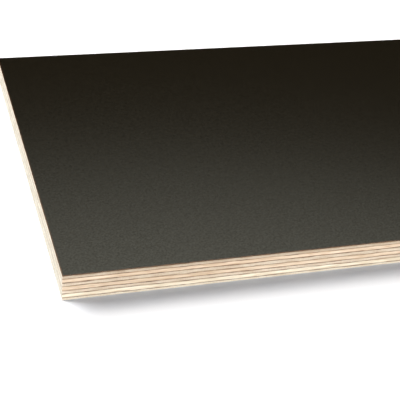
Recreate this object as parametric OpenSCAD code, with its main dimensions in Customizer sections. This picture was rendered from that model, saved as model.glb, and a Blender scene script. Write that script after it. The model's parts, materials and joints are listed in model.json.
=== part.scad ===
// Film-faced birch plywood board, a cut panel lying flat with its film side up.
// Seven rotary-cut veneers are cross-banded, so that the grain turns a quarter at every
// glue line, and the pressed board is sawn square through film and veneers together.
// The origin is the centre of the underside, +X runs along the front edge, +Z points up.

/* [Panel] */
// Length of the panel, along its front edge
panel_length = 210; // [50:1:3000]
// Width of the panel, from its front edge to its back edge
panel_width = 148; // [50:1:1500]

/* [Film] */
// Thickness of the phenolic film on the upper face
film_thickness = 0.2; // [0.1:0.05:0.6]

/* [Veneers with their grain across the front edge] */
// Thickness of the face veneer, right under the film
face_veneer_thickness = 1.05; // [0.5:0.05:3]
// Thickness of the veneer above the middle of the board
upper_core_thickness = 1.4; // [0.5:0.05:3]
// Thickness of the veneer below the middle of the board
lower_core_thickness = 1.2; // [0.5:0.05:3]
// Thickness of the bare veneer on the underside
back_veneer_thickness = 0.85; // [0.5:0.05:3]

/* [Veneers with their grain along the front edge] */
// Thickness of the crossband under the face veneer
upper_crossband_thickness = 1.45; // [0.5:0.05:3]
// Thickness of the crossband in the middle of the board
centre_crossband_thickness = 1.5; // [0.5:0.05:3]
// Thickness of the crossband over the back veneer
lower_crossband_thickness = 1.55; // [0.5:0.05:3]

/* [Hidden] */
// Every layer of the board, in the order in which it is laid up from the underside
NODES = [
    "back_veneer", "lower_crossband", "lower_core_veneer", "centre_crossband",
    "upper_core_veneer", "upper_crossband", "face_veneer", "top_film"
];

// Thickness of every layer, in the same order
thicknesses = [
    back_veneer_thickness, lower_crossband_thickness, lower_core_thickness, centre_crossband_thickness,
    upper_core_thickness, upper_crossband_thickness, face_veneer_thickness, film_thickness
];

// Colour of the film, and of birch sawn across and along its grain
film_colour = [0.29, 0.26, 0.22];
end_grain_colour = [0.86, 0.79, 0.70];
long_grain_colour = [0.95, 0.86, 0.74];

// Place of a layer in the lay-up
function layer_index(name) = search([name], NODES)[0];

// Height of the face that a layer is pressed on: all the layers beneath it
function seat_height(index) = index == 0 ? 0 : seat_height(index - 1) + thicknesses[index - 1];

// The outline that the saw leaves, the same all through the board
module panel_outline()
    square([panel_length, panel_width], center = true);

// One whole layer, pressed on the layer beneath it
module pressed_layer(name) {
    index = layer_index(name);
    translate([0, 0, seat_height(index)])
        linear_extrude(thicknesses[index])
            panel_outline();
}

// A veneer that shows its end grain on the front edge
module across_grain_veneer(name)
    color(end_grain_colour) pressed_layer(name);

// A veneer that shows its long grain on the front edge
module along_grain_veneer(name)
    color(long_grain_colour) pressed_layer(name);

module back_veneer() across_grain_veneer("back_veneer");
module lower_crossband() along_grain_veneer("lower_crossband");
module lower_core_veneer() across_grain_veneer("lower_core_veneer");
module centre_crossband() along_grain_veneer("centre_crossband");
module upper_core_veneer() across_grain_veneer("upper_core_veneer");
module upper_crossband() along_grain_veneer("upper_crossband");
module face_veneer() across_grain_veneer("face_veneer");
module top_film() color(film_colour) pressed_layer("top_film");

back_veneer();
lower_crossband();
lower_core_veneer();
centre_crossband();
upper_core_veneer();
upper_crossband();
face_veneer();
top_film();
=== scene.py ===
import json
import math

import bmesh
import bpy
from mathutils import Matrix, Vector, noise


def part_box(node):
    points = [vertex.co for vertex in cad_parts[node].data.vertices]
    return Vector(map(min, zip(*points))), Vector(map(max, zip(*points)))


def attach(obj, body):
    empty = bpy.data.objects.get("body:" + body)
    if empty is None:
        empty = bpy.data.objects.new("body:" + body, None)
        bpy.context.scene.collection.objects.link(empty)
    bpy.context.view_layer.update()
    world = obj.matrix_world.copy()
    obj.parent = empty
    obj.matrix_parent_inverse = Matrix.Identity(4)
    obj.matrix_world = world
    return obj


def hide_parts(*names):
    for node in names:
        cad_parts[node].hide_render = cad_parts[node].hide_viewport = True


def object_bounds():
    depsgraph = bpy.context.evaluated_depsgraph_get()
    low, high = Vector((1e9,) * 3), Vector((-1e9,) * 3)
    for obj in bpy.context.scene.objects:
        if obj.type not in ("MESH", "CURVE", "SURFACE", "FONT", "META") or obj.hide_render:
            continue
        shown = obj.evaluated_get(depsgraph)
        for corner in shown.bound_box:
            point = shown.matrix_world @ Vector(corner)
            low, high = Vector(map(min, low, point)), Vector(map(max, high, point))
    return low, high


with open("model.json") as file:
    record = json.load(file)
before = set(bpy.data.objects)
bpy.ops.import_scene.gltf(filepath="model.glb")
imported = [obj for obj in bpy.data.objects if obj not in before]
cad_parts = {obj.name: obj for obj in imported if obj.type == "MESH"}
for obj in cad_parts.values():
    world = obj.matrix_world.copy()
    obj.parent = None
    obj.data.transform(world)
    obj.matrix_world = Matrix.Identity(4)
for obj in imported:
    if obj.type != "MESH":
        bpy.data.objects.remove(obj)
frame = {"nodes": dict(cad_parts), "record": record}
cadLow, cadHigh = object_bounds()
mm = 0.001
black = (0, 0, 0, 1)
white = (1, 1, 1, 1)
scene = bpy.context.scene
scene.view_settings.view_transform = "Standard"

layUp = sorted(frame["nodes"], key=lambda node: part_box(node)[0].z)  # from the underside up
levels = [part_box(node)[0].z for node in layUp] + [cadHigh.z]  # faces of the layers
slots = {part["node"]: part["material_slot"] for part in frame["record"]["subparts"]}
print("frame loaded:", ", ".join(layUp))


# a direction, in degrees to the right of +Y and degrees up
def compass(azimuth, elevation):
    turn, rise = math.radians(azimuth), math.radians(elevation)
    return Vector((math.sin(turn) * math.cos(rise), math.cos(turn) * math.cos(rise), math.sin(rise)))


# camera, worked out from the edges of the board in the photo
photoView = {
    "size": 400,  # pixels each way
    "focal": 1054,  # pixels
    "yaw": 19.54,  # degrees to the right of +Y
    "pitch": 32.85,  # degrees down
    "roll": 5.81,  # degrees that the picture leans
    "corner": (62.28, 276.64),  # pixel of the front left corner, where film and wood meet
    "depth": 0.312,  # metres from the camera to that corner
    "nearest": 0.01,  # metres, nothing closer is drawn
}


def placeCamera(view):
    forward = compass(view["yaw"], -view["pitch"])
    level = compass(view["yaw"] + 90, 0)
    upright = level.cross(forward)
    roll = math.radians(view["roll"])
    right = math.cos(roll) * level + math.sin(roll) * upright
    up = math.cos(roll) * upright - math.sin(roll) * level
    across, down = (pixel - view["size"] / 2 for pixel in view["corner"])
    corner = Vector((cadLow.x, cadLow.y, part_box("face_veneer")[1].z))
    reach = forward + right * (across / view["focal"]) - up * (down / view["focal"])
    camera = bpy.data.objects.new("photoCamera", bpy.data.cameras.new("photoCamera"))
    camera.data.lens = camera.data.sensor_width * view["focal"] / view["size"]
    camera.data.clip_start = view["nearest"]
    camera.matrix_world = Matrix((right, up, -forward)).transposed().to_4x4()
    camera.location = corner - reach * view["depth"]
    scene.collection.objects.link(camera)
    scene.camera = camera


placeCamera(photoView)
print("camera placed")


# small helpers for node trees
def setInputs(tree, node, inputs):
    for key, value in inputs.items():
        if isinstance(value, bpy.types.NodeSocket):
            tree.links.new(value, node.inputs[key])
        else:
            node.inputs[key].default_value = value


def addNode(tree, kind, inputs=None, **settings):
    node = tree.nodes.new(kind)
    for key, value in settings.items():
        setattr(node, key, value)
    setInputs(tree, node, inputs or {})
    return node


def calc(tree, operation, first, second=0.0):
    return addNode(tree, "ShaderNodeMath", {0: first, 1: second}, operation=operation).outputs[0]


def vectorCalc(tree, operation, first, second=(0, 0, 0), output="Vector"):
    node = addNode(tree, "ShaderNodeVectorMath", {0: first, 1: second}, operation=operation)
    return node.outputs[output]


def mixValue(tree, factor, first, second):
    return addNode(tree, "ShaderNodeMix", {0: factor, 2: first, 3: second}).outputs[0]


def mixColour(tree, factor, first, second, blend="MIX"):
    sockets = {0: factor, 6: first, 7: second}  # a mix node's own sockets for colours
    return addNode(tree, "ShaderNodeMix", sockets, data_type="RGBA", blend_type=blend).outputs[2]


def ramp(tree, value, limits, reach=(0.0, 1.0), smooth=False):
    sockets = {0: value, 1: limits[0], 2: limits[1], 3: reach[0], 4: reach[1]}
    kind = "SMOOTHSTEP" if smooth else "LINEAR"
    return addNode(tree, "ShaderNodeMapRange", sockets, interpolation_type=kind).outputs[0]


# noise with spots of the given sizes in millimetres, stretched from its limits to its reach
def spots(tree, place, sizes, detail=2.0, limits=None, reach=(0.0, 1.0)):
    stretched = vectorCalc(tree, "MULTIPLY", place, [1 / (size * mm) for size in sizes])
    sockets = {"Vector": stretched, "Scale": 1.0, "Detail": detail}
    level = addNode(tree, "ShaderNodeTexNoise", sockets).outputs[0]
    return ramp(tree, level, limits, reach) if limits else level


def stainOf(tree):
    return addNode(tree, "ShaderNodeAttribute", attribute_name="stain").outputs["Fac"]


def bumpNormal(tree, height, bump):
    sockets = {"Height": height, "Strength": bump["strength"], "Distance": bump["depth"]}
    return addNode(tree, "ShaderNodeBump", sockets).outputs[0]


def newMaterial(name, constants):
    material = bpy.data.materials.new(name)
    material.use_nodes = True
    tree = material.node_tree
    shader = tree.nodes["Principled BSDF"]
    setInputs(tree, shader, constants)
    return material, tree, shader


# birch whose fibres run along X: each material turns these patterns to its own grain
fibrePatterns = {
    "Fibres": {"sizes": (7, 0.42, 0.42), "limits": (0.32, 0.68)},
    "Rings": {"sizes": (40, 6, 0.34), "limits": (0.3, 0.7)},
    "Figure": {"sizes": (24, 7, 3), "limits": (0.3, 0.7), "detail": 3.0},
    "Flecks": {"sizes": (4.5, 0.5, 0.36), "limits": (0.58, 0.74), "detail": 1.0},
    "Rays": {"sizes": (9, 0.32, 2.4), "limits": (0.35, 0.65), "detail": 1.0},
}

# faint marks of the saw teeth, on every sawn face of the board
sawPatterns = {"Height": {"sizes": (0.7, 0.7, 14), "detail": 1.0}}


def makePatternGroup(name, patterns):
    group = bpy.data.node_groups.new(name, "ShaderNodeTree")
    group.interface.new_socket("Place", in_out="INPUT", socket_type="NodeSocketVector")
    for label in patterns:
        group.interface.new_socket(label, in_out="OUTPUT", socket_type="NodeSocketFloat")
    place = group.nodes.new("NodeGroupInput").outputs["Place"]
    end = group.nodes.new("NodeGroupOutput")
    setInputs(group, end, {label: spots(group, place, **pattern) for label, pattern in patterns.items()})
    return group


def useGroup(tree, group, place):
    return addNode(tree, "ShaderNodeGroup", {"Place": place}, node_tree=group).outputs


fibreGroup = makePatternGroup("birchFibres", fibrePatterns)
sawGroup = makePatternGroup("sawMarks", sawPatterns)


birchLook = {
    "shader": {"Roughness": 0.62, "Specular IOR Level": 0.25},
    "bump": {"depth": 0.02 * mm, "strength": 0.5},
    "dark": (0.80, 0.74, 0.67),  # the darker fibres, beside the tone of the veneer
    "pale": (1.07, 1.07, 1.07),  # and the paler ones
    "figureTint": (0.88, 0.84, 0.80, 1),
    "fleckTint": (0.80, 0.68, 0.57, 1),
    "endGrain": (0.4, 0.6),  # how squarely a face cuts the fibres, from long grain to end grain
    "pores": 0.6,  # how much of the fibres shows on the end grain
    "poreTint": (0.90, 0.86, 0.82, 1),
    "rayTint": (0.95, 0.93, 0.905, 1),
    "bandTint": (0.90, 0.865, 0.83, 1),  # slow change of tone along the end grain
    "soakTint": (0.54, 0.43, 0.34, 1),  # where glue has soaked into the veneer
    "soakStain": (0.5, 1.0),  # stain at which that begins, and is full
    "soakPatches": {"sizes": (4, 4, 0.9), "limits": (0.35, 0.65), "reach": (0.15, 1.0)},
}

# how the fibres run in each kind of veneer, and the axis that its end grain faces
grainRuns = {
    "birch_across": {"turn": math.radians(90), "endAxis": "Y"},
    "birch_along": {"turn": 0.0, "endAxis": "X"},
}

# tones of the seven veneers: along the grain, and on the end grain; they get paler towards the underside,
# partly each veneer's own tone and partly painted light that makes up for the shade the floor's shadow
# leaves on the lower veneers
veneerTonesWithPaintedLight = {
    "face_veneer": {"long": (0.82, 0.765, 0.65), "end": (0.585, 0.51, 0.413)},
    "upper_crossband": {"long": (0.76, 0.63, 0.495), "end": (0.69, 0.675, 0.60)},
    "upper_core_veneer": {"long": (0.80, 0.775, 0.685), "end": (0.70, 0.63, 0.53)},
    "centre_crossband": {"long": (0.78, 0.66, 0.525), "end": (0.675, 0.67, 0.597)},
    "lower_core_veneer": {"long": (0.80, 0.79, 0.70), "end": (0.755, 0.682, 0.583)},
    "lower_crossband": {"long": (0.91, 0.865, 0.735), "end": (0.69, 0.70, 0.64)},
    "back_veneer": {"long": (0.78, 0.775, 0.70), "end": (0.87, 0.84, 0.745)},
}


def tinted(tone, tint):
    return [part * share for part, share in zip(tone, tint)] + [1]


def birchMaterial(name, run, tones):
    look = birchLook
    material, tree, shader = newMaterial(name, look["shader"])
    where = tree.nodes.new("ShaderNodeTexCoord").outputs
    turned = addNode(tree, "ShaderNodeMapping", {"Vector": where["Object"], "Rotation": (0, 0, run["turn"])})
    grain = useGroup(tree, fibreGroup, turned.outputs[0])
    facing = addNode(tree, "ShaderNodeSeparateXYZ", {0: where["Normal"]}).outputs[run["endAxis"]]
    endGrain = ramp(tree, calc(tree, "ABSOLUTE", facing), look["endGrain"])

    dark, pale = (tinted(tones["long"], look[key]) for key in ("dark", "pale"))
    longColour = mixColour(tree, grain["Fibres"], dark, pale)
    longColour = mixColour(tree, grain["Figure"], longColour, look["figureTint"], "MULTIPLY")
    longColour = mixColour(tree, grain["Flecks"], longColour, look["fleckTint"], "MULTIPLY")

    dark, pale = (tinted(tones["end"], look[key]) for key in ("dark", "pale"))
    endColour = mixColour(tree, grain["Rings"], pale, dark)
    pores = calc(tree, "MULTIPLY", grain["Fibres"], look["pores"])
    endColour = mixColour(tree, pores, endColour, look["poreTint"], "MULTIPLY")
    endColour = mixColour(tree, grain["Rays"], endColour, look["rayTint"], "MULTIPLY")
    endColour = mixColour(tree, grain["Figure"], endColour, look["bandTint"], "MULTIPLY")
    colour = mixColour(tree, endGrain, longColour, endColour)

    # glue darkens the veneer near its glue lines, here more and there less
    patches = spots(tree, where["Object"], **look["soakPatches"])
    soak = calc(tree, "MULTIPLY", ramp(tree, stainOf(tree), look["soakStain"]), patches)
    colour = mixColour(tree, soak, colour, look["soakTint"], "MULTIPLY")

    saw = useGroup(tree, sawGroup, where["Object"])
    height = calc(tree, "ADD", grain["Fibres"], saw["Height"])
    setInputs(tree, shader, {"Base Color": colour, "Normal": bumpNormal(tree, height, look["bump"])})
    return material


edgePatch = (2.4, 2.4, 0.7)  # mm, patches of glue and film along the sawn edge, and up it

glueLook = {
    "shader": {"Roughness": 0.45, "Specular IOR Level": 0.3},
    "bump": birchLook["bump"],
    "dark": (0.085, 0.049, 0.032, 1),
    "pale": (0.36, 0.255, 0.178, 1),
    "patches": {"sizes": edgePatch, "limits": (0.38, 0.66)},
}


def glueMaterial():
    look = glueLook
    material, tree, shader = newMaterial("glueLine", look["shader"])
    where = tree.nodes.new("ShaderNodeTexCoord").outputs["Object"]
    colour = mixColour(tree, spots(tree, where, **look["patches"]), look["dark"], look["pale"])
    saw = useGroup(tree, sawGroup, where)
    setInputs(tree, shader, {"Base Color": colour, "Normal": bumpNormal(tree, saw["Height"], look["bump"])})
    return material


filmLook = {
    "shader": {"IOR": 1.55, "Specular IOR Level": 0.30, "Coat Roughness": 0.16},
    "bump": {"depth": 0.013 * mm, "strength": 1.0},
    "dark": (0.0066, 0.0045, 0.0018, 1),
    "light": (0.0128, 0.0089, 0.0040, 1),
    "mottle": {"sizes": (0.9, 0.9, 0.9), "limits": (0.3, 0.7), "detail": 3.0},
    "roughness": (0.14, 0.175),  # of the dark spots, and of the light ones
    "coat": {"sizes": (0.65, 0.65, 0.65), "limits": (0.3, 0.7), "reach": (0.05, 0.69), "detail": 1.0},
    "peel": {"sizes": (0.8, 0.8, 0.8)},
    "rim": (0.12, 0.055, 0.024, 1),  # where the saw has left the film thin and brown
    "rimPatches": {"sizes": edgePatch, "limits": (0.35, 0.65), "reach": (0.4, 1.0)},
}


def filmMaterial():
    look = filmLook
    material, tree, shader = newMaterial("phenolicFilm", look["shader"])
    where = tree.nodes.new("ShaderNodeTexCoord").outputs["Object"]
    mottle = spots(tree, where, **look["mottle"])
    colour = mixColour(tree, mottle, look["dark"], look["light"])
    rim = calc(tree, "MULTIPLY", stainOf(tree), spots(tree, where, **look["rimPatches"]))
    finish = {
        "Base Color": mixColour(tree, rim, colour, look["rim"]),
        "Roughness": ramp(tree, mottle, (0, 1), look["roughness"]),
        "Coat Weight": spots(tree, where, **look["coat"]),
        "Normal": bumpNormal(tree, spots(tree, where, **look["peel"]), look["bump"]),
    }
    setInputs(tree, shader, finish)
    return material


filmEdgeLook = {
    "shader": {"Roughness": 0.5},
    "dark": (0.06, 0.027, 0.012, 1),
    "light": (0.13, 0.06, 0.028, 1),
    "patches": {"sizes": edgePatch, "limits": (0.3, 0.7)},
}


def filmEdgeMaterial():
    look = filmEdgeLook
    material, tree, shader = newMaterial("filmEdge", look["shader"])
    where = tree.nodes.new("ShaderNodeTexCoord").outputs["Object"]
    colour = mixColour(tree, spots(tree, where, **look["patches"]), look["dark"], look["light"])
    setInputs(tree, shader, {"Base Color": colour})
    return material


filmFinish = filmMaterial()
filmEdgeFinish = filmEdgeMaterial()
glueFinish = glueMaterial()
print("materials made")


# the pressed layers: flat sheets on a shared grid, whose glue lines stray a little from flat
sheetShape = {
    "cell": 1.5 * mm,  # grid of a sheet
    "onOutline": 0.001 * mm,  # a point this near to the outline is on it
    "middle": 0.5,  # height of a veneer's clean wood, as a share of the veneer
    "faceMiddle": 0.12,  # the same in the face veneer, stained from there up to the film
    "glueHalf": 0.09 * mm,  # half the height of a glue line
    "glueSpread": 0.65,  # share of that height that comes and goes along the line
    "glueWave": 3 * mm,
    "glueSeed": (7.7, 0.4),  # step from one glue line to the next in the noise, and its start
    "thickGlue": {3: 1.25, 5: 1.25},  # glue lines, counted from the underside, that are thicker
    "glueSink": 0.02 * mm,  # depth of a glue line behind the sawn edge
    "stray": 0.09 * mm,  # how far a glue line wanders up and down
    "filmStray": 0.02 * mm,
    "strayWave": 14 * mm,
    "straySeed": 5.3,  # step from one glue line to the next in the noise
    "quickStray": {"share": 0.5, "pace": 2.7, "seed": 2.1},  # shorter waves on top of those
    "edgeRelief": 0.03 * mm,  # unevenness of the sawn edge
    "reliefWave": 5 * mm,
    "reliefRise": 3,  # times as fast up the edge as along it
    "arris": 0.06 * mm,  # eased edge of the film and of the underside
    "rim": 0.5 * mm,  # brown rim of the film
}


def ripple(x, y, wave, seed):
    return noise.noise(Vector((x / wave, y / wave, seed)))


def faceHeight(level, x, y):
    last = len(levels) - 1
    if level in (0, last):
        return levels[level]
    stray = sheetShape["filmStray"] if level == last - 1 else sheetShape["stray"]
    wave, seed, quick = (sheetShape[key] for key in ("strayWave", "straySeed", "quickStray"))
    slowWave = ripple(x, y, wave, seed * level)
    quickWave = ripple(quick["pace"] * x, quick["pace"] * y, wave, seed * level + quick["seed"])
    return levels[level] + stray * (slowWave + quick["share"] * quickWave)


def glueReach(level, x, y):
    step, start = sheetShape["glueSeed"]
    swell = ripple(x, y, sheetShape["glueWave"], step * level + start)
    half = sheetShape["glueHalf"] * sheetShape["thickGlue"].get(level, 1)
    return half * (1 + sheetShape["glueSpread"] * swell)


def edgeInset(x, y, z):
    relief = noise.noise(Vector((x, y, sheetShape["reliefRise"] * z)) / sheetShape["reliefWave"])
    return sheetShape["edgeRelief"] * (1 + relief) / 2


# a ring round a sheet: its height as a share of the sheet, and what is added to that
plainRow = {
    "lift": 0.0,  # metres added to the height
    "glue": 0,  # glue lines added to the height
    "inset": 0.0,  # metres behind the outline
    "finish": 0,  # material of the band below the ring
    "rough": False,  # uneven from the saw
    "stain": 0.0,
}


def sheetRow(share, **changes):
    return {**plainRow, "share": share, **changes}


def veneerRows(name):
    sink, arris = sheetShape["glueSink"], sheetShape["arris"]
    if name == "back_veneer":
        rows = [sheetRow(0, inset=arris), sheetRow(0, lift=arris, rough=True)]
    else:
        rows = [sheetRow(0, inset=sink, stain=1), sheetRow(0, glue=1, finish=1, rough=True, stain=1)]
    if name == "face_veneer":
        rows.append(sheetRow(sheetShape["faceMiddle"], rough=True))
        rows.append(sheetRow(1, stain=1))
    else:
        rows.append(sheetRow(sheetShape["middle"], rough=True))
        rows.append(sheetRow(1, glue=-1, rough=True, stain=1))
        rows.append(sheetRow(1, inset=sink, finish=1, stain=1))
    return rows


def filmRows():
    arris, rim = sheetShape["arris"], sheetShape["rim"]
    edge = [sheetRow(0, stain=1), sheetRow(1, lift=-arris, finish=1, stain=1)]
    return edge + [sheetRow(1, inset=arris, stain=1), sheetRow(1, inset=rim)]


# a flat grid, extruded once for each further row, and the points of every row
def growRows(bm, reach, rows):
    cells = [round(2 * side / sheetShape["cell"]) for side in reach]
    bmesh.ops.create_grid(bm, x_segments=cells[0], y_segments=cells[1], size=1)
    bmesh.ops.scale(bm, vec=(reach.x, reach.y, 1), verts=bm.verts)
    rowVerts = [list(bm.verts)]
    top = list(bm.faces)
    for row in rows[1:]:
        old = set(bm.faces)
        edges = list(dict.fromkeys(edge for face in top for edge in face.edges))  # so no face is left inside
        grown = bmesh.ops.extrude_face_region(bm, geom=top + edges)["geom"]
        top = [item for item in grown if isinstance(item, bmesh.types.BMFace)]
        rowVerts.append([item for item in grown if isinstance(item, bmesh.types.BMVert)])
        for face in set(bm.faces) - old - set(top):
            face.material_index = row["finish"]
    return [[vert for vert in verts if vert.is_valid] for verts in rowVerts]


def shapeRow(verts, row, index, reach, stain):
    for vert in verts:
        x, y = vert.co.x, vert.co.y
        bottom, ceiling = faceHeight(index, x, y), faceHeight(index + 1, x, y)
        lift = row["lift"] + row["glue"] * glueReach(index + round(row["share"]), x, y)
        vert.co.z = bottom + row["share"] * (ceiling - bottom) + lift
        vert[stain] = row["stain"]
        inset = row["inset"] + (edgeInset(x, y, vert.co.z) if row["rough"] else 0)
        if abs(abs(x) - reach.x) < sheetShape["onOutline"]:
            vert.co.x -= math.copysign(inset, x)
        if abs(abs(y) - reach.y) < sheetShape["onOutline"]:
            vert.co.y -= math.copysign(inset, y)


# an extrude leaves its side faces in any order: sorted by their points, they come out alike each run
def sortFaces(bm):
    bm.verts.index_update()
    faces = sorted(bm.faces, key=lambda face: sorted(vert.index for vert in face.verts))
    for place, face in enumerate(faces):
        face.index = place
    bm.faces.sort()


def meshObject(name, bm, materials):
    mesh = bpy.data.meshes.new(name)
    bm.to_mesh(mesh)
    bm.free()
    for material in materials:
        mesh.materials.append(material)
    made = bpy.data.objects.new(name, mesh)
    scene.collection.objects.link(made)
    return made


def pressedSheet(name, index, rows, materials):
    low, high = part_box(name)
    reach = Vector(((high.x - low.x) / 2, (high.y - low.y) / 2))
    bm = bmesh.new()
    stain = bm.verts.layers.float.new("stain")
    for row, verts in zip(rows, growRows(bm, reach, rows)):
        shapeRow(verts, row, index, reach, stain)
    bmesh.ops.recalc_face_normals(bm, faces=bm.faces)
    sortFaces(bm)
    piece = meshObject(name + "_sheet", bm, materials)
    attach(piece, "root")
    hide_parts(name)


for index, name in enumerate(layUp):
    if name == "top_film":
        pressedSheet(name, index, filmRows(), [filmFinish, filmEdgeFinish])
    else:
        wood = birchMaterial(name + "_birch", grainRuns[slots[name]], veneerTonesWithPaintedLight[name])
        pressedSheet(name, index, veneerRows(name), [wood, glueFinish])
print("layers pressed:", len(layUp))


# studio lamps: a softbox behind on the left, low fills in front and on the right
lamps = {
    "key": {
        "azimuth": -58,
        "elevation": 36.5,
        "distance": 6,
        "size": (3.44, 2.3),
        "watts": 622,
        "colour": (0.975, 1.0, 1.03),
    },
    "fill": {
        "azimuth": 170,
        "elevation": 5,
        "distance": 1.4,
        "size": (1.2, 0.2),
        "watts": 18.7,
        "colour": (1.0, 1.0, 1.0),
    },
    "side": {
        "azimuth": 95,
        "elevation": 5,
        "distance": 1.6,
        "size": (0.8, 0.3),
        "watts": 18,
        "colour": (1.0, 0.95, 0.88),
    },
}


def placeLamp(name, lamp):
    toLamp = compass(lamp["azimuth"], lamp["elevation"])
    light = bpy.data.lights.new(name, "AREA")
    light.shape = "RECTANGLE"
    light.size, light.size_y = lamp["size"]
    light.energy = lamp["watts"]
    light.color = lamp["colour"]
    holder = bpy.data.objects.new(name, light)
    holder.location = toLamp * lamp["distance"]
    holder.rotation_euler = toLamp.to_track_quat("Z", "Y").to_euler()
    holder.visible_glossy = False  # the film mirrors the glows instead
    scene.collection.objects.link(holder)


floorLook = {
    "shader": {"Base Color": (0.865, 0.85, 0.845, 1), "Roughness": 1.0, "Specular IOR Level": 0.0},
    "size": 6,
    "gap": 0.01 * mm,  # under the board
    "lift": (0.0, 0.046, 0.1, 1),  # painted bluish glow, seen only by the camera, that evens out the warm light that the wood throws on the floor's shadow
    "paintedGlowReach": (0.0, 12 * mm),  # from the board, over which that ends
    "fade": (6 * mm, 34 * mm),  # from the board, over which the floor turns plain white
}


def floorMaterial():
    look = floorLook
    material, tree, shader = newMaterial("studioFloor", look["shader"])
    where = tree.nodes.new("ShaderNodeTexCoord").outputs["Object"]
    beyond = vectorCalc(tree, "SUBTRACT", vectorCalc(tree, "ABSOLUTE", where), cadHigh)
    apart = vectorCalc(tree, "LENGTH", vectorCalc(tree, "MAXIMUM", beyond), output="Value")
    # painted light on the floor: a bluish glow beside the board tints its shadow, and the glow towards plain
    # white starts inside the shadow's soft end and paints its outer part lighter
    beside = ramp(tree, apart, look["paintedGlowReach"], (1.0, 0.0), smooth=True)
    away = ramp(tree, apart, look["fade"], smooth=True)
    lift = mixColour(tree, away, mixColour(tree, beside, black, look["lift"]), white)
    seen = tree.nodes.new("ShaderNodeLightPath").outputs["Is Camera Ray"]
    glow = addNode(tree, "ShaderNodeEmission", {"Color": lift, "Strength": seen})
    both = addNode(tree, "ShaderNodeAddShader", {0: shader.outputs[0], 1: glow.outputs[0]})
    setInputs(tree, tree.nodes["Material Output"], {"Surface": both.outputs[0]})
    return material


def layFloor():
    bm = bmesh.new()
    bmesh.ops.create_grid(bm, x_segments=1, y_segments=1, size=floorLook["size"] / 2)
    bmesh.ops.translate(bm, vec=(0, 0, cadLow.z - floorLook["gap"]), verts=bm.verts)
    floor = meshObject("studioFloor", bm, [floorMaterial()])


# soft glows round the room that only the film mirrors
# each has its middle, the degrees from it at which it starts to fade and ends, and its strength
roomGlows = {
    "ceiling": {"azimuth": 110, "elevation": 87, "fade": (50, 60.8), "strength": 1.51},
    "overhead": {"azimuth": 110, "elevation": 87, "fade": (15, 40), "strength": -1.1},
    "softbox": {"azimuth": -58, "elevation": 38, "fade": (8, 45), "strength": 0.7},
    "front": {"azimuth": 140, "elevation": 15, "fade": (10, 65), "strength": 0.16},
    "left": {"azimuth": -125, "elevation": 15, "fade": (10, 65), "strength": 0.15},
    "horizon": {"azimuth": 0, "elevation": -90, "fade": (92, 108), "strength": 0.05},
}
roomTint = (0.98, 1.0, 0.87, 1)
roomLight = 0.04  # on everything else
backdrop = 1.0  # white, as the camera sees it


def lightWorld():
    world = bpy.data.worlds.new("studioWorld")
    world.use_nodes = True
    scene.world = world
    tree = world.node_tree
    rays = tree.nodes.new("ShaderNodeLightPath").outputs
    towards = tree.nodes.new("ShaderNodeTexCoord").outputs["Generated"]
    total = 0.0
    for glow in roomGlows.values():
        middle = compass(glow["azimuth"], glow["elevation"])
        apart = calc(tree, "ARCCOSINE", vectorCalc(tree, "DOT_PRODUCT", towards, middle, "Value"))
        limits = [math.radians(angle) for angle in glow["fade"]]
        total = calc(tree, "ADD", ramp(tree, apart, limits, (glow["strength"], 0.0)), total)
    soft = mixValue(tree, rays["Is Glossy Ray"], roomLight, total)
    strength = mixValue(tree, rays["Is Camera Ray"], soft, backdrop)
    tint = mixColour(tree, rays["Is Glossy Ray"], white, roomTint)
    setInputs(tree, tree.nodes["Background"], {"Color": tint, "Strength": strength})


layFloor()
lightWorld()
for lampName, lamp in lamps.items():
    placeLamp(lampName, lamp)
print("studio lit")
